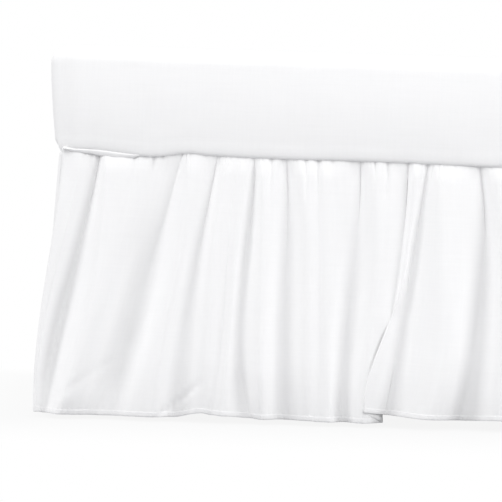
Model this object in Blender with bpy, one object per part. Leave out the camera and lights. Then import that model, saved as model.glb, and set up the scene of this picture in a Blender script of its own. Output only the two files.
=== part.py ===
"""Gathered bed skirt for a crib, on the mattress and the plain slatted base that it is fitted to.

Metres, +Z up. The bed's length runs along X, and the long side in the photograph faces -Y. The origin
is on the floor, under the middle of the bed.
"""

import math
import random
from collections import namedtuple

import bmesh
import bpy

MM = 0.001
QUARTER = math.pi / 2

# Cloth: the skirt hangs from a deck of plain cotton that lies between mattress and base
SEAM_LENGTH = 1.286
SEAM_WIDTH = 0.676
DROP = 0.345
HEM_CLEARANCE = 0.005
CLOTH = 0.0014
FIT_GAP = 0.0003
END_INSET = 0.005

# The heading: a flat strip at the seam, a turn over the deck's edge, and a short run in which folds open
SEAM_STRIP = 0.0015
HEADING_RADIUS = 0.005
HEADING_GATHER = 0.014

# The folds: how far they stand out, how steep they may be, and how the cloth flares towards the hem
FOLD_DEPTH = 0.014
DEPTH_AT_SEAM = 0.3
STEEPEST = 0.5
FLARE = 0.018
FLARE_POWER = 1.2
CRISP_UNTIL = 0.5
LEAN_FROM = 0.45

# Mattress
MATTRESS_LENGTH = 1.320
MATTRESS_WIDTH = 0.710
MATTRESS_THICKNESS = 0.140
MATTRESS_CORNER = 0.045
CORNER_STEPS = 5
DRAWN_IN = 0.008
DRAWN_IN_MIDDLE = 0.0035
LOW_MIDDLE = 0.060
WIDEST_AT = 0.112
BOTTOM_TURN = 0.016
TOP_TURN = 0.020
TURN_STEPS = 3
SMOOTH_ANGLE = 40

# Slatted base
TIMBER = 0.020
RAIL_HEIGHT = 0.070
CLOTH_CLEARANCE = 0.003
LEG = 0.045
LEG_INSET = 0.042
SLAT_WIDTH = 0.060
SLAT_THICKNESS = 0.012
SLATS = 9
EDGE_CHAMFER = 0.002

SLAT_TOP = HEM_CLEARANCE + DROP
RAIL_TOP = SLAT_TOP - SLAT_THICKNESS - FIT_GAP
DECK_MIDDLE = SLAT_TOP + FIT_GAP + CLOTH / 2
MATTRESS_BOTTOM = DECK_MIDDLE + CLOTH / 2 + FIT_GAP

# Colour, roughness and metallic value of each material
COTTON = ("white cotton percale", (0.90, 0.90, 0.92), 0.85, 0.0)
DECK_COTTON = ("plain deck cotton", (0.88, 0.88, 0.89), 0.90, 0.0)
SHEETING = ("white fitted sheet", (0.91, 0.91, 0.93), 0.80, 0.0)
PINE = ("planed pine", (0.80, 0.66, 0.47), 0.60, 0.0)

# Shares of the drop at which each fold's place is given
FOLD_LEVELS = (0.05, 0.32, 0.66, 0.95)

# One row for each crest or valley of the cloth. Its place along the seam, in millimetres from the
# panel's left end, is given near the seam (top), a third and two thirds of the way down (upper and
# lower) and near the hem. rise is its height as a share of the fold depth, lean pushes its lower end
# to the left, and lift raises its hem.
Fold = namedtuple("Fold", "top upper lower hem rise lean lift")
PHOTOGRAPHED_FOLDS = (
    Fold(-3, -11, -25, -29, -0.1, 0, 2),
    Fold(22, 8, -14, -24, 0.4, 0, 2),
    Fold(46, 27, -1, -14, -1.0, 0, 2),
    Fold(57, 53, 38, 12, 1.0, 0, 2),
    Fold(149, 123, 93, 66, -0.8, 0, 2),
    Fold(163, 158, 139, 127, 0.8, 0, 2),
    Fold(201, 185, 166, 155, -0.9, 0, 2),
    Fold(217, 203, 198, 194, 0.8, 0, 7),
    Fold(229, 221, 216, 207, 0.4, 0, 5),
    Fold(238, 231, 224, 221, 0.8, 0, 4),
    Fold(251, 243, 239, 251, -0.9, 0, 2),
    Fold(263, 266, 266, 270, 1.0, 0, 1),
    Fold(295, 298, 295, 298, -1.0, 0, 1),
    Fold(317, 326, 329, 333, 0.9, 0, 1),
    Fold(335, 339, 344, 345, 0.5, 0, 0),
    Fold(345, 349, 353, 359, 0.8, 0, 0),
    Fold(390, 386, 379, 377, -1.0, 0, 0),
    Fold(414, 419, 413, 405, 0.5, 0, 0),
    Fold(451, 447, 438, 436, 0.0, 0, 0),
    Fold(460, 456, 446, 442, 0.7, 38, 15),
    Fold(480, 468, 455, 440, -0.8, 0, 11),
    Fold(504, 506, 509, 495, 1.0, 0, 8),
    Fold(549, 554, 548, 539, -1.0, 0, 6),
    Fold(577, 581, 584, 583, 0.9, 0, 9),
)

# The free side edge of a panel: its rise and lift, and how far it swings out at the hem, in millimetres.
# The two end panels swing less than the long ones and stay behind them.
EDGE_RISE = -0.1
EDGE_LIFT = 3
LONG_SWING = 22
SHORT_SWING = 14

# How the folds that the photograph doesn't show are laid out: their pitch, sway and lift in millimetres,
# and the least and greatest rise. A swaying fold has covered these shares of its sway at each level.
Spread = namedtuple("Spread", "pitch pitch_change sway lift least_rise most_rise")
PLAIN_SPREAD = Spread(36, 19, 24, 8, 0.55, 1.15)
SWAY_PATH = (0, 0.3, 0.75, 1)

# Rows down each panel, as shares of the drop, and steps between two fold lines
SEAM_SHARE = SEAM_STRIP / DROP
FRONT_ROWS = (0, SEAM_SHARE, 0.016, 0.04, 0.11, 0.24, 0.42, 0.62, 0.82, 1)
PLAIN_ROWS = (0, SEAM_SHARE, 0.016, 0.04, 0.18, 0.55, 1)
FRONT_STEPS = 4
PLAIN_STEPS = 3

# Seeds of the plain folds, one for each side of the bed
FRONT_SEED = 4
RIGHT_SEED = 21
BACK_SEED = 12
LEFT_SEED = 33


def clear_scene():
    """Removes what a new Blender file holds."""
    for thing in list(bpy.data.objects):
        bpy.data.objects.remove(thing)


def principled(finish):
    """A material with one Principled BSDF."""
    name, colour, roughness, metallic = finish
    material = bpy.data.materials.get(name) or bpy.data.materials.new(name)
    material.use_nodes = True
    shader = material.node_tree.nodes["Principled BSDF"]
    shader.inputs["Base Color"].default_value = (*colour, 1.0)
    shader.inputs["Roughness"].default_value = roughness
    shader.inputs["Metallic"].default_value = metallic
    return material


def add_object(name, mesh, finish, location=(0, 0, 0), turn=0.0):
    """Links a mesh to the scene under a node's name, turned about Z."""
    mesh.materials.append(principled(finish))
    thing = bpy.data.objects.new(name, mesh)
    thing.location = location
    thing.rotation_euler = (0, 0, turn)
    bpy.context.scene.collection.objects.link(thing)
    return thing


def smooth(share):
    """Eases from 0 to 1 with level ends."""
    share = min(max(share, 0.0), 1.0)
    return share * share * (3 - 2 * share)


def through_levels(values, down):
    """The curve through a value at each of the fold levels, read at a share of the drop."""
    total = 0.0
    for i, level in enumerate(FOLD_LEVELS):
        weight = 1.0
        for j, other in enumerate(FOLD_LEVELS):
            if j != i:
                weight *= (down - other) / (level - other)
        total += weight * values[i]
    return total


def swaying_fold(top, sway, rise, lift):
    """A fold that starts at one place and drifts sideways towards the hem."""
    places = [top + sway * share for share in SWAY_PATH]
    return Fold(*places, rise, 0, lift)


def plain_folds(start, end, rise, seed):
    """Alternating crests and valleys, uneven in pitch, sway and lift, from start to end."""
    dice = random.Random(seed)
    spread = PLAIN_SPREAD
    count = round((end - start) / spread.pitch)
    folds = []
    for i in range(1, count):
        top = start + (end - start) * i / count + dice.uniform(-1, 1) * spread.pitch_change / 2
        sway = dice.uniform(-1, 1) * spread.sway / 2
        lift = dice.uniform(0, spread.lift)
        height = rise * dice.uniform(spread.least_rise, spread.most_rise)
        folds.append(swaying_fold(top, sway, height, lift))
        rise = -rise
    return folds


def front_folds():
    """The photographed folds, then plain ones up to the right-hand end."""
    length = SEAM_LENGTH / MM
    last = PHOTOGRAPHED_FOLDS[-1]
    edge = swaying_fold(length, LONG_SWING, EDGE_RISE, EDGE_LIFT)
    return [*PHOTOGRAPHED_FOLDS, *plain_folds(last.top, length, -1, FRONT_SEED), edge]


def hidden_folds(length, swing, seed):
    """Plain folds for a whole panel, between its two free side edges."""
    length = length / MM
    left = swaying_fold(0, -swing, EDGE_RISE, EDGE_LIFT)
    right = swaying_fold(length, swing, EDGE_RISE, EDGE_LIFT)
    return [left, *plain_folds(0, length, 1, seed), right]


def lines_at(folds, down):
    """The place, lean, outward push and hem lift of each fold line at a share of the drop."""
    places = []
    for fold in folds:
        place = through_levels((fold.top, fold.upper, fold.lower, fold.hem), down)
        lean = fold.lean * smooth((down - LEAN_FROM) / (1 - LEAN_FROM))
        places.append((place * MM, lean * MM))
    depth = FOLD_DEPTH * (DEPTH_AT_SEAM + (1 - DEPTH_AT_SEAM) * down)
    depth *= smooth(down * DROP / HEADING_GATHER)
    lines = []
    for i, fold in enumerate(folds):
        here = places[i][0] - places[i][1]
        near = [abs(here - places[j][0] + places[j][1]) for j in (i - 1, i + 1) if 0 <= j < len(folds)]
        height = fold.rise * min(depth, STEEPEST * min(near))
        lines.append((*places[i], height, fold.lift * MM * down))
    return lines


def between(first, second, share, crispness):
    """A point of the cloth between two fold lines. A valley near the seam is crisp, lower down it is soft."""
    eased = smooth(share)
    if first[2] < second[2]:
        crisp = math.sin(share * QUARTER)
    else:
        crisp = 1 - math.cos(share * QUARTER)
    height_share = eased + (crisp - eased) * crispness
    along = first[0] + (second[0] - first[0]) * share - first[1] - (second[1] - first[1]) * eased
    height = first[2] + (second[2] - first[2]) * height_share
    lift = first[3] + (second[3] - first[3]) * eased
    return along, height, lift


def hang(down):
    """Outward and downward place of the unfolded cloth: it turns over the seam, then hangs and flares."""
    fallen = max(0.0, down * DROP - SEAM_STRIP)
    turn = min(fallen / HEADING_RADIUS, QUARTER)
    out = min(down * DROP, SEAM_STRIP) + HEADING_RADIUS * math.sin(turn) + FLARE * down ** FLARE_POWER
    drop = HEADING_RADIUS * (1 - math.cos(turn)) + max(0.0, fallen - HEADING_RADIUS * QUARTER)
    turn_takes = SEAM_STRIP + HEADING_RADIUS * (QUARTER - 1)
    return out, drop * DROP / (DROP - turn_takes)


def gathered_panel(name, folds, length, steps, rows, location, turn):
    """One gathered panel, a sheet of even thickness lofted over its fold lines."""
    sheet = bmesh.new()
    grid = []
    for down in rows:
        out, drop = hang(down)
        lines = lines_at(folds, down)
        crispness = 1 - smooth(down / CRISP_UNTIL)
        points = [between(first, second, step / steps, crispness)
                  for first, second in zip(lines, lines[1:])
                  for step in range(steps)]
        points.append(between(lines[-2], lines[-1], 1.0, crispness))
        grid.append([sheet.verts.new((along - length / 2, -FIT_GAP - out - height, lift - drop))
                     for along, height, lift in points])
    for upper, lower in zip(grid, grid[1:]):
        for i in range(len(upper) - 1):
            sheet.faces.new((upper[i], lower[i], lower[i + 1], upper[i + 1]))
    mesh = bpy.data.meshes.new(name)
    sheet.to_mesh(mesh)
    sheet.free()
    mesh.shade_smooth()
    panel = add_object(name, mesh, COTTON, location, turn)
    thicken = panel.modifiers.new("cloth thickness", "SOLIDIFY")
    thicken.thickness = CLOTH
    thicken.offset = 0
    return panel


def make_panels():
    """Four panels, split at the corners, sewn along the four edges of the deck."""
    half_length, half_width = SEAM_LENGTH / 2, SEAM_WIDTH / 2
    end_length = SEAM_WIDTH - 2 * END_INSET
    gathered_panel("front_panel", front_folds(), SEAM_LENGTH, FRONT_STEPS, FRONT_ROWS,
                   (0, -half_width, DECK_MIDDLE), 0)
    gathered_panel("right_panel", hidden_folds(end_length, SHORT_SWING, RIGHT_SEED), end_length,
                   PLAIN_STEPS, PLAIN_ROWS, (half_length, 0, DECK_MIDDLE), QUARTER)
    gathered_panel("back_panel", hidden_folds(SEAM_LENGTH, LONG_SWING, BACK_SEED), SEAM_LENGTH,
                   PLAIN_STEPS, PLAIN_ROWS, (0, half_width, DECK_MIDDLE), 2 * QUARTER)
    gathered_panel("left_panel", hidden_folds(end_length, SHORT_SWING, LEFT_SEED), end_length,
                   PLAIN_STEPS, PLAIN_ROWS, (-half_length, 0, DECK_MIDDLE), 3 * QUARTER)


def make_block(name, size, centre, finish, chamfer):
    """A block with its edges taken off."""
    block = bmesh.new()
    bmesh.ops.create_cube(block, size=1)
    bmesh.ops.scale(block, vec=size, verts=block.verts)
    mesh = bpy.data.meshes.new(name)
    block.to_mesh(mesh)
    block.free()
    thing = add_object(name, mesh, finish, centre)
    if chamfer:
        edges = thing.modifiers.new("edges", "BEVEL")
        edges.width = chamfer
        edges.segments = 1
        edges.limit_method = "ANGLE"
    return thing


def make_deck():
    """The flat cotton deck, cut to the seam line."""
    make_block("deck", (SEAM_LENGTH, SEAM_WIDTH, CLOTH), (0, 0, DECK_MIDDLE), DECK_COTTON, 0)


def mattress_profile():
    """Inset from the mattress's full plan, and height above its underside, from the bottom to the top."""
    profile = []
    for step in range(TURN_STEPS + 1):
        angle = step / TURN_STEPS * QUARTER
        profile.append((DRAWN_IN + BOTTOM_TURN * (1 - math.sin(angle)), BOTTOM_TURN * (1 - math.cos(angle))))
    profile.append((DRAWN_IN_MIDDLE, LOW_MIDDLE))
    for step in range(TURN_STEPS + 1):
        angle = step / TURN_STEPS * QUARTER
        rise = MATTRESS_THICKNESS - WIDEST_AT
        profile.append((TOP_TURN * (1 - math.cos(angle)), WIDEST_AT + rise * math.sin(angle)))
    return profile


def rounded_outline(inset):
    """Corner points of the mattress's plan, drawn in by an inset."""
    radius = MATTRESS_CORNER - inset
    reach_x, reach_y = MATTRESS_LENGTH / 2 - MATTRESS_CORNER, MATTRESS_WIDTH / 2 - MATTRESS_CORNER
    outline = []
    for quarter, (side_x, side_y) in enumerate(((1, 1), (-1, 1), (-1, -1), (1, -1))):
        for step in range(CORNER_STEPS + 1):
            angle = (quarter + step / CORNER_STEPS) * QUARTER
            outline.append((side_x * reach_x + radius * math.cos(angle),
                            side_y * reach_y + radius * math.sin(angle)))
    return outline


def make_mattress():
    """The mattress in its fitted sheet: drawn in at the foot, fullest near the top."""
    body = bmesh.new()
    rings = []
    for inset, height in mattress_profile():
        rings.append([body.verts.new((x, y, height)) for x, y in rounded_outline(inset)])
    for lower, upper in zip(rings, rings[1:]):
        for i in range(len(lower)):
            j = (i + 1) % len(lower)
            body.faces.new((lower[i], lower[j], upper[j], upper[i]))
    body.faces.new(reversed(rings[0]))
    body.faces.new(rings[-1])
    mesh = bpy.data.meshes.new("mattress")
    body.to_mesh(mesh)
    body.free()
    mesh.shade_smooth()
    mesh.set_sharp_from_angle(angle=math.radians(SMOOTH_ANGLE))
    add_object("mattress", mesh, SHEETING, (0, 0, MATTRESS_BOTTOM))


def make_base():
    """Four legs against the end rails, four rails and the slats: a plain base that keeps clear of the skirt."""
    length = SEAM_LENGTH - 2 * CLOTH_CLEARANCE
    width = SEAM_WIDTH - 2 * CLOTH_CLEARANCE
    rail_middle = RAIL_TOP - RAIL_HEIGHT / 2
    for side, name in ((-1, "front_rail"), (1, "back_rail")):
        centre = (0, side * (width - TIMBER) / 2, rail_middle)
        make_block(name, (length, TIMBER, RAIL_HEIGHT), centre, PINE, EDGE_CHAMFER)
    end_rail = width - 2 * TIMBER - 2 * FIT_GAP
    for side, name in ((-1, "left_rail"), (1, "right_rail")):
        centre = (side * (length - TIMBER) / 2, 0, rail_middle)
        make_block(name, (TIMBER, end_rail, RAIL_HEIGHT), centre, PINE, EDGE_CHAMFER)
    leg_x = length / 2 - TIMBER - FIT_GAP - LEG / 2
    leg_y = width / 2 - TIMBER - LEG_INSET - LEG / 2
    for number, (side_x, side_y) in enumerate(((-1, -1), (1, -1), (1, 1), (-1, 1)), start=1):
        centre = (side_x * leg_x, side_y * leg_y, RAIL_TOP / 2)
        make_block(f"leg_{number}", (LEG, LEG, RAIL_TOP), centre, PINE, EDGE_CHAMFER)
    slat_reach = (length - SLAT_WIDTH) / 2
    for number in range(SLATS):
        place = slat_reach * (2 * number / (SLATS - 1) - 1)
        centre = (place, 0, SLAT_TOP - SLAT_THICKNESS / 2)
        make_block(f"slat_{number + 1}", (SLAT_WIDTH, width, SLAT_THICKNESS), centre, PINE, EDGE_CHAMFER)


def main():
    """Builds the base, the deck, the four panels and the mattress."""
    clear_scene()
    make_base()
    make_deck()
    make_panels()
    make_mattress()


main()
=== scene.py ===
"""Looks of a gathered crib bed skirt on its mattress and plain slatted base.

Metres, +Z up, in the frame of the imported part. The four gathered panels, the deck and the mattress are
soft goods that stand for plain solids: each is a fine mesh on its solid's own form. The timber of the
base keeps its solids and gets a pine finish. The bed's length runs along X, and -Y is the front.
"""

from __future__ import annotations

import logging
import math
import random
from dataclasses import dataclass, field
from enum import Enum
from typing import NamedTuple

import bpy
import numpy as np
from mathutils import Matrix, Vector, noise


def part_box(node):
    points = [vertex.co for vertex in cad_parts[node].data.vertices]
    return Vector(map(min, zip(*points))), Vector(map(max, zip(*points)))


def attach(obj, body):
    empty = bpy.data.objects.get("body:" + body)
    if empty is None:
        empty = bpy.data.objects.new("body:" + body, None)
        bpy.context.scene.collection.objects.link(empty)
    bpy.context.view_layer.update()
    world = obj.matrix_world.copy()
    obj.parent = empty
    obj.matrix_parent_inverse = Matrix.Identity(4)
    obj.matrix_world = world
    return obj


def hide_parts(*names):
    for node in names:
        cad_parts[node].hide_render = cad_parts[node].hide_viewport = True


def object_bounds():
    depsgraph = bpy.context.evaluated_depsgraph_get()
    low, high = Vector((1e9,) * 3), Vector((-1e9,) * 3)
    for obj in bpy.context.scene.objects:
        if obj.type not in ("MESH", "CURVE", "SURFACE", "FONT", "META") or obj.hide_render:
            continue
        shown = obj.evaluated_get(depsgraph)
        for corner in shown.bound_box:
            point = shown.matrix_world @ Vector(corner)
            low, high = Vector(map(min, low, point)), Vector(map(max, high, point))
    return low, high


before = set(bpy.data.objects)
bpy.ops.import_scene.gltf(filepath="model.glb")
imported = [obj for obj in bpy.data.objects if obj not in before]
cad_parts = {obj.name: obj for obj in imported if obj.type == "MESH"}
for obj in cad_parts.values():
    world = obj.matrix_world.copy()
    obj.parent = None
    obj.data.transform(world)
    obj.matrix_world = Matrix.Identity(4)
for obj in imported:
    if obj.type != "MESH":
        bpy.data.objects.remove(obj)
CAD_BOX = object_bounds()

LOG = logging.getLogger("bed_skirt")
MM = 0.001
QUARTER = math.pi / 2
BODY = "root"
WAVE_PERIOD = math.tau / 20  # length of one band of a wave texture of scale 1
Grid = np.ndarray
Profile = tuple[tuple[float, float], ...]
Material = bpy.types.Material
Node = bpy.types.Node
Piece = bpy.types.Object
Socket = bpy.types.NodeSocket
Tree = bpy.types.NodeTree


# Small helpers


def smooth(share: Grid | float) -> Grid | float:
    """Eases from 0 to 1 with level ends."""
    share = np.clip(share, 0.0, 1.0)
    return share * share * (3 - 2 * share)


def linear(colour: str) -> tuple[float, float, float, float]:
    """Turns an sRGB hex colour into linear light.

    Args:
        colour: six hex digits.

    Returns:
        Red, green, blue and an alpha of 1.
    """
    shares = [int(colour[i:i + 2], 16) / 255 for i in (0, 2, 4)]
    light = [s / 12.92 if s <= 0.04045 else ((s + 0.055) / 1.055) ** 2.4 for s in shares]
    return (*light, 1.0)


def add_node(tree: Tree, kind: str, output: str, inputs: dict | None = None, **settings) -> Socket:
    """Adds one shader node with its settings and links.

    Args:
        tree: the node tree that gets it.
        kind: the node's type name, after ShaderNode.
        output: the name of the output that is used.
        inputs: for each input, by name or number, a value or the output socket that feeds it.
        settings: attributes of the node itself.

    Returns:
        The output socket.
    """
    node = tree.nodes.new(f"ShaderNode{kind}")
    for name, value in settings.items():
        setattr(node, name, value)
    for name, value in (inputs or {}).items():
        if isinstance(value, Socket):
            tree.links.new(value, node.inputs[name])
        else:
            node.inputs[name].default_value = value
    return node.outputs[output]


def bump(tree: Tree, height: Socket, depth_mm: float, strength: float, **below: Socket) -> Socket:
    """Adds a bump of a real depth.

    Args:
        tree: the material's node tree.
        height: the relief, from 0 to 1.
        depth_mm: how deep it is.
        strength: how much of it shows.
        below: as Normal, the bump that this one lies on.

    Returns:
        The output socket of the normal.
    """
    inputs = {"Height": height, "Distance": depth_mm * MM, "Strength": strength, **below}
    return add_node(tree, "Bump", "Normal", inputs)


def bands(tree: Tree, places: Socket, pitch_mm: float, direction: str) -> Socket:
    """Smooth bands side by side, as threads or plies lie.

    Args:
        tree: the material's node tree.
        places: the coordinates.
        pitch_mm: the width of a band.
        direction: the way that they follow on each other.

    Returns:
        The output socket of their height.
    """
    inputs = {"Vector": places, "Scale": WAVE_PERIOD / (pitch_mm * MM)}
    return add_node(tree, "TexWave", "Fac", inputs, bands_direction=direction)


def mixed(tree: Tree, share: Socket, first: str, second: str) -> Socket:
    """Mixes two sRGB hex colours.

    Args:
        tree: the material's node tree.
        share: how much of the second shows.
        first: the first colour.
        second: the second colour.

    Returns:
        The output socket of the colour.
    """
    inputs = {"Fac": share, "Color1": linear(first), "Color2": linear(second)}
    return add_node(tree, "MixRGB", "Color", inputs)


def start_material(name: str, constants: dict) -> tuple[Material, Node]:
    """Starts a material with constants on its Principled shader.

    Args:
        name: the material's name.
        constants: a value for each of the shader's sockets, by name.

    Returns:
        The material and its shader.
    """
    material = bpy.data.materials.new(name)
    material.use_nodes = True
    shader = material.node_tree.nodes["Principled BSDF"]
    for socket, value in constants.items():
        shader.inputs[socket].default_value = value
    return material, shader


def mesh_piece(name: str, points: Grid, faces: list, finish: Material, flat: Grid | None = None) -> Piece:
    """Makes a smooth mesh object from points and faces.

    Args:
        name: the piece's name.
        points: one row of three coordinates for each vertex, in metres.
        faces: vertex numbers of each face, outward side first.
        finish: its material.
        flat: one row of two flat coordinates for each vertex, kept as the UV map.

    Returns:
        The object, linked to the scene with its place in its mesh.
    """
    mesh = bpy.data.meshes.new(name)
    mesh.from_pydata(points.tolist(), [], faces)
    if flat is not None:
        corners = np.empty(len(mesh.loops), dtype=np.int32)
        mesh.loops.foreach_get("vertex_index", corners)
        layer = mesh.uv_layers.new(name="cloth")
        layer.data.foreach_set("uv", flat[corners].astype(np.float32).ravel())
    mesh.shade_smooth()
    mesh.materials.append(finish)
    piece = bpy.data.objects.new(name, mesh)
    bpy.context.scene.collection.objects.link(piece)
    return piece


def grid_normals(points: Grid) -> Grid:
    """Unit normals of a grid of points whose rows run down and whose columns run to the right.

    Args:
        points: an array of rows by columns by three coordinates.

    Returns:
        An array of the same shape.
    """
    down = np.gradient(points, axis=0)
    right = np.gradient(points, axis=1)
    normals = np.cross(down, right)
    return normals / np.maximum(np.linalg.norm(normals, axis=2, keepdims=True), 1e-12)


def quads(*corners: Grid) -> Grid:
    """Quads from four equal arrays of corners."""
    return np.stack(corners, axis=-1).reshape(-1, 4)


def sheet_faces(rows: int, columns: int) -> Grid:
    """Faces of a closed sheet made of an outer and an inner grid.

    Args:
        rows: number of rows in each grid.
        columns: number of columns in each grid.

    Returns:
        Vertex numbers of the quads of both sides and of the four narrow edges.
    """
    outer = np.arange(rows * columns).reshape(rows, columns)
    inner = outer + rows * columns
    return np.concatenate([
        quads(outer[:-1, :-1], outer[1:, :-1], outer[1:, 1:], outer[:-1, 1:]),
        quads(inner[:-1, 1:], inner[1:, 1:], inner[1:, :-1], inner[:-1, :-1]),
        quads(outer[0, :-1], outer[0, 1:], inner[0, 1:], inner[0, :-1]),
        quads(outer[-1, 1:], outer[-1, :-1], inner[-1, :-1], inner[-1, 1:]),
        quads(outer[1:, 0], outer[:-1, 0], inner[:-1, 0], inner[1:, 0]),
        quads(outer[:-1, -1], outer[1:, -1], inner[1:, -1], inner[:-1, -1]),
    ])


def sheet_piece(name: str, points: Grid, half: Grid, flat: Grid, finish: Material) -> Piece:
    """A closed sheet of cloth around a grid of points.

    Args:
        name: the piece's name.
        points: rows by columns by three coordinates of the sheet's middle surface.
        half: half the thickness at each grid point, in metres.
        flat: rows by columns by two flat coordinates.
        finish: the cloth's material.

    Returns:
        The object.
    """
    push = grid_normals(points) * half[..., None]
    both = np.concatenate([(points + push).reshape(-1, 3), (points - push).reshape(-1, 3)])
    flats = np.concatenate([flat.reshape(-1, 2)] * 2)
    return mesh_piece(name, both, sheet_faces(*half.shape).tolist(), finish, flats)


def noise_at(across: Grid, down: Grid, seed: float) -> Grid:
    """Smooth noise, from about -0.5 to 0.5, at each pair of equally shaped coordinates."""
    values = [noise.noise(Vector((a, d, seed))) for a, d in zip(across.ravel(), down.ravel())]
    return np.array(values).reshape(across.shape)


# Finishes


@dataclass(frozen=True)
class WovenCotton:
    """Bleached plain-weave cotton, as percale and sheeting are woven.

    Real percale has a thread every 0.25 mm, too fine to show, so the weave is drawn at the pitch given
    here. Uneven threads give faint streaks both ways, and the nap gives a soft sheen at the edges.
    """

    name: str
    colour: str
    thin_colour: str
    roughness: float = 0.82
    sheen: float = 0.12
    pitch_mm: float = 1.1
    weave_depth_mm: float = 0.02
    slub_mm: float = 2.6
    slub_length_mm: float = 60.0
    crumple_mm: float = 34.0
    crumple_depth_mm: float = 0.35

    def material(self) -> Material:
        """Builds the cloth's material on its UV map, which is in metres along and down the cloth."""
        material, shader = start_material(self.name, {
            "Roughness": self.roughness,
            "Sheen Weight": self.sheen,
            "Sheen Roughness": 0.5,
            "Specular IOR Level": 0.25,
        })
        tree = material.node_tree
        places = add_node(tree, "TexCoord", "UV")
        threads = [bands(tree, places, self.pitch_mm, direction) for direction in ("X", "Y")]
        streaks = [self.streaks(tree, places, scale) for scale in self.streak_scales()]
        uneven = add_node(tree, "Math", "Value", {0: streaks[0], 1: streaks[1]}, operation="ADD")
        tone = add_node(tree, "MapRange", "Result", {"Value": uneven, "From Min": 0.7, "From Max": 1.3})
        tree.links.new(mixed(tree, tone, self.thin_colour, self.colour), shader.inputs["Base Color"])
        crumple = add_node(tree, "TexNoise", "Fac", {
            "Vector": places,
            "Scale": 1 / (self.crumple_mm * MM),
            "Detail": 3.0,
            "Roughness": 0.45,
        })
        soft = bump(tree, crumple, self.crumple_depth_mm, strength=0.6)
        weave = add_node(tree, "Math", "Value", {0: threads[0], 1: threads[1]}, operation="MULTIPLY")
        fine = bump(tree, weave, self.weave_depth_mm, strength=0.5, Normal=soft)
        tree.links.new(fine, shader.inputs["Normal"])
        return material

    def streak_scales(self) -> list[tuple[float, float, float]]:
        """Scales that stretch noise along the warp and along the weft."""
        across = 1 / (self.slub_mm * MM)
        along = 1 / (self.slub_length_mm * MM)
        return [(across, along, 1.0), (along, across, 1.0)]

    def streaks(self, tree: Tree, places: Socket, scale: tuple[float, float, float]) -> Socket:
        """Faint streaks of uneven threads.

        Args:
            tree: the material's node tree.
            places: the flat coordinates.
            scale: how much the noise is squeezed each way.

        Returns:
            The output socket of the streaks.
        """
        stretched = add_node(tree, "Mapping", "Vector", {"Vector": places, "Scale": scale})
        return add_node(tree, "TexNoise", "Fac", {"Vector": stretched, "Scale": 1.0, "Detail": 2.0})


@dataclass(frozen=True)
class SewingThread:
    """White polyester-cotton sewing thread: two twisted plies, slightly glossier than the cloth."""

    name: str = "white sewing thread"
    colour: str = "F0F0F3"
    roughness: float = 0.6
    ply_mm: float = 0.5
    ply_depth_mm: float = 0.08

    def material(self) -> Material:
        """Builds the thread's material, with its twist as slanting bands."""
        material, shader = start_material(self.name, {
            "Base Color": linear(self.colour),
            "Roughness": self.roughness,
            "Sheen Weight": 0.1,
        })
        tree = material.node_tree
        plies = bands(tree, add_node(tree, "TexCoord", "Object"), self.ply_mm, "DIAGONAL")
        tree.links.new(bump(tree, plies, self.ply_depth_mm, strength=0.6), shader.inputs["Normal"])
        return material


class Lengthwise(Enum):
    """The way that a timber's grain runs, as a turn that lays it along X."""

    ALONG_X = (0.0, 0.0, 0.0)
    ALONG_Y = (0.0, 0.0, -QUARTER)
    ALONG_Z = (0.0, QUARTER, 0.0)


@dataclass(frozen=True)
class PlanedPine:
    """Planed, unvarnished pine: growth rings as pale and warmer bands drawn out along the grain.

    A ring is 4 mm wide, and the bands run nearly straight because the boards are cut along the log.
    """

    grain: Lengthwise
    early_colour: str = "E3C79C"
    late_colour: str = "C59B66"
    roughness: float = 0.55
    ring_mm: float = 4.0
    ring_length_mm: float = 900.0
    fibre_mm: float = 0.6
    fibre_length_mm: float = 40.0
    fibre_depth_mm: float = 0.06

    def material(self) -> Material:
        """Builds the timber's material on Object coordinates, turned to run along the board."""
        name = f"planed pine {self.grain.name.lower().replace('_', ' ')}"
        material, shader = start_material(name, {"Roughness": self.roughness})
        tree = material.node_tree
        places = add_node(tree, "TexCoord", "Object")
        turned = add_node(tree, "Mapping", "Vector", {"Vector": places, "Rotation": self.grain.value})
        squeeze = (self.ring_mm / self.ring_length_mm, 1.0, 1.0)
        drawn_out = add_node(tree, "Mapping", "Vector", {"Vector": turned, "Scale": squeeze})
        rings = add_node(tree, "TexWave", "Fac", {
            "Vector": drawn_out,
            "Scale": WAVE_PERIOD / (self.ring_mm * MM),
            "Distortion": 3.5,
            "Detail": 2.0,
            "Detail Scale": 0.6,
        }, wave_type="RINGS", rings_direction="X")
        tree.links.new(mixed(tree, rings, self.early_colour, self.late_colour), shader.inputs["Base Color"])
        across = 1 / (self.fibre_mm * MM)
        stretch = (1 / (self.fibre_length_mm * MM), across, across)
        fibres = add_node(tree, "Mapping", "Vector", {"Vector": turned, "Scale": stretch})
        pores = add_node(tree, "TexNoise", "Fac", {"Vector": fibres, "Scale": 1.0})
        tree.links.new(bump(tree, pores, self.fibre_depth_mm, strength=0.5), shader.inputs["Normal"])
        return material


# The plan of the folds


class Fold(NamedTuple):
    """One crest or valley of the cloth, in millimetres from its panel's left end.

    Its place is given near the seam (top), a third and two thirds of the way down (upper and lower) and
    near the hem. rise is its height as a share of the fold depth, lean pushes its lower end to the left,
    and lift raises its hem.
    """

    top: float
    upper: float
    lower: float
    hem: float
    rise: float
    lean: float
    lift: float


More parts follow.
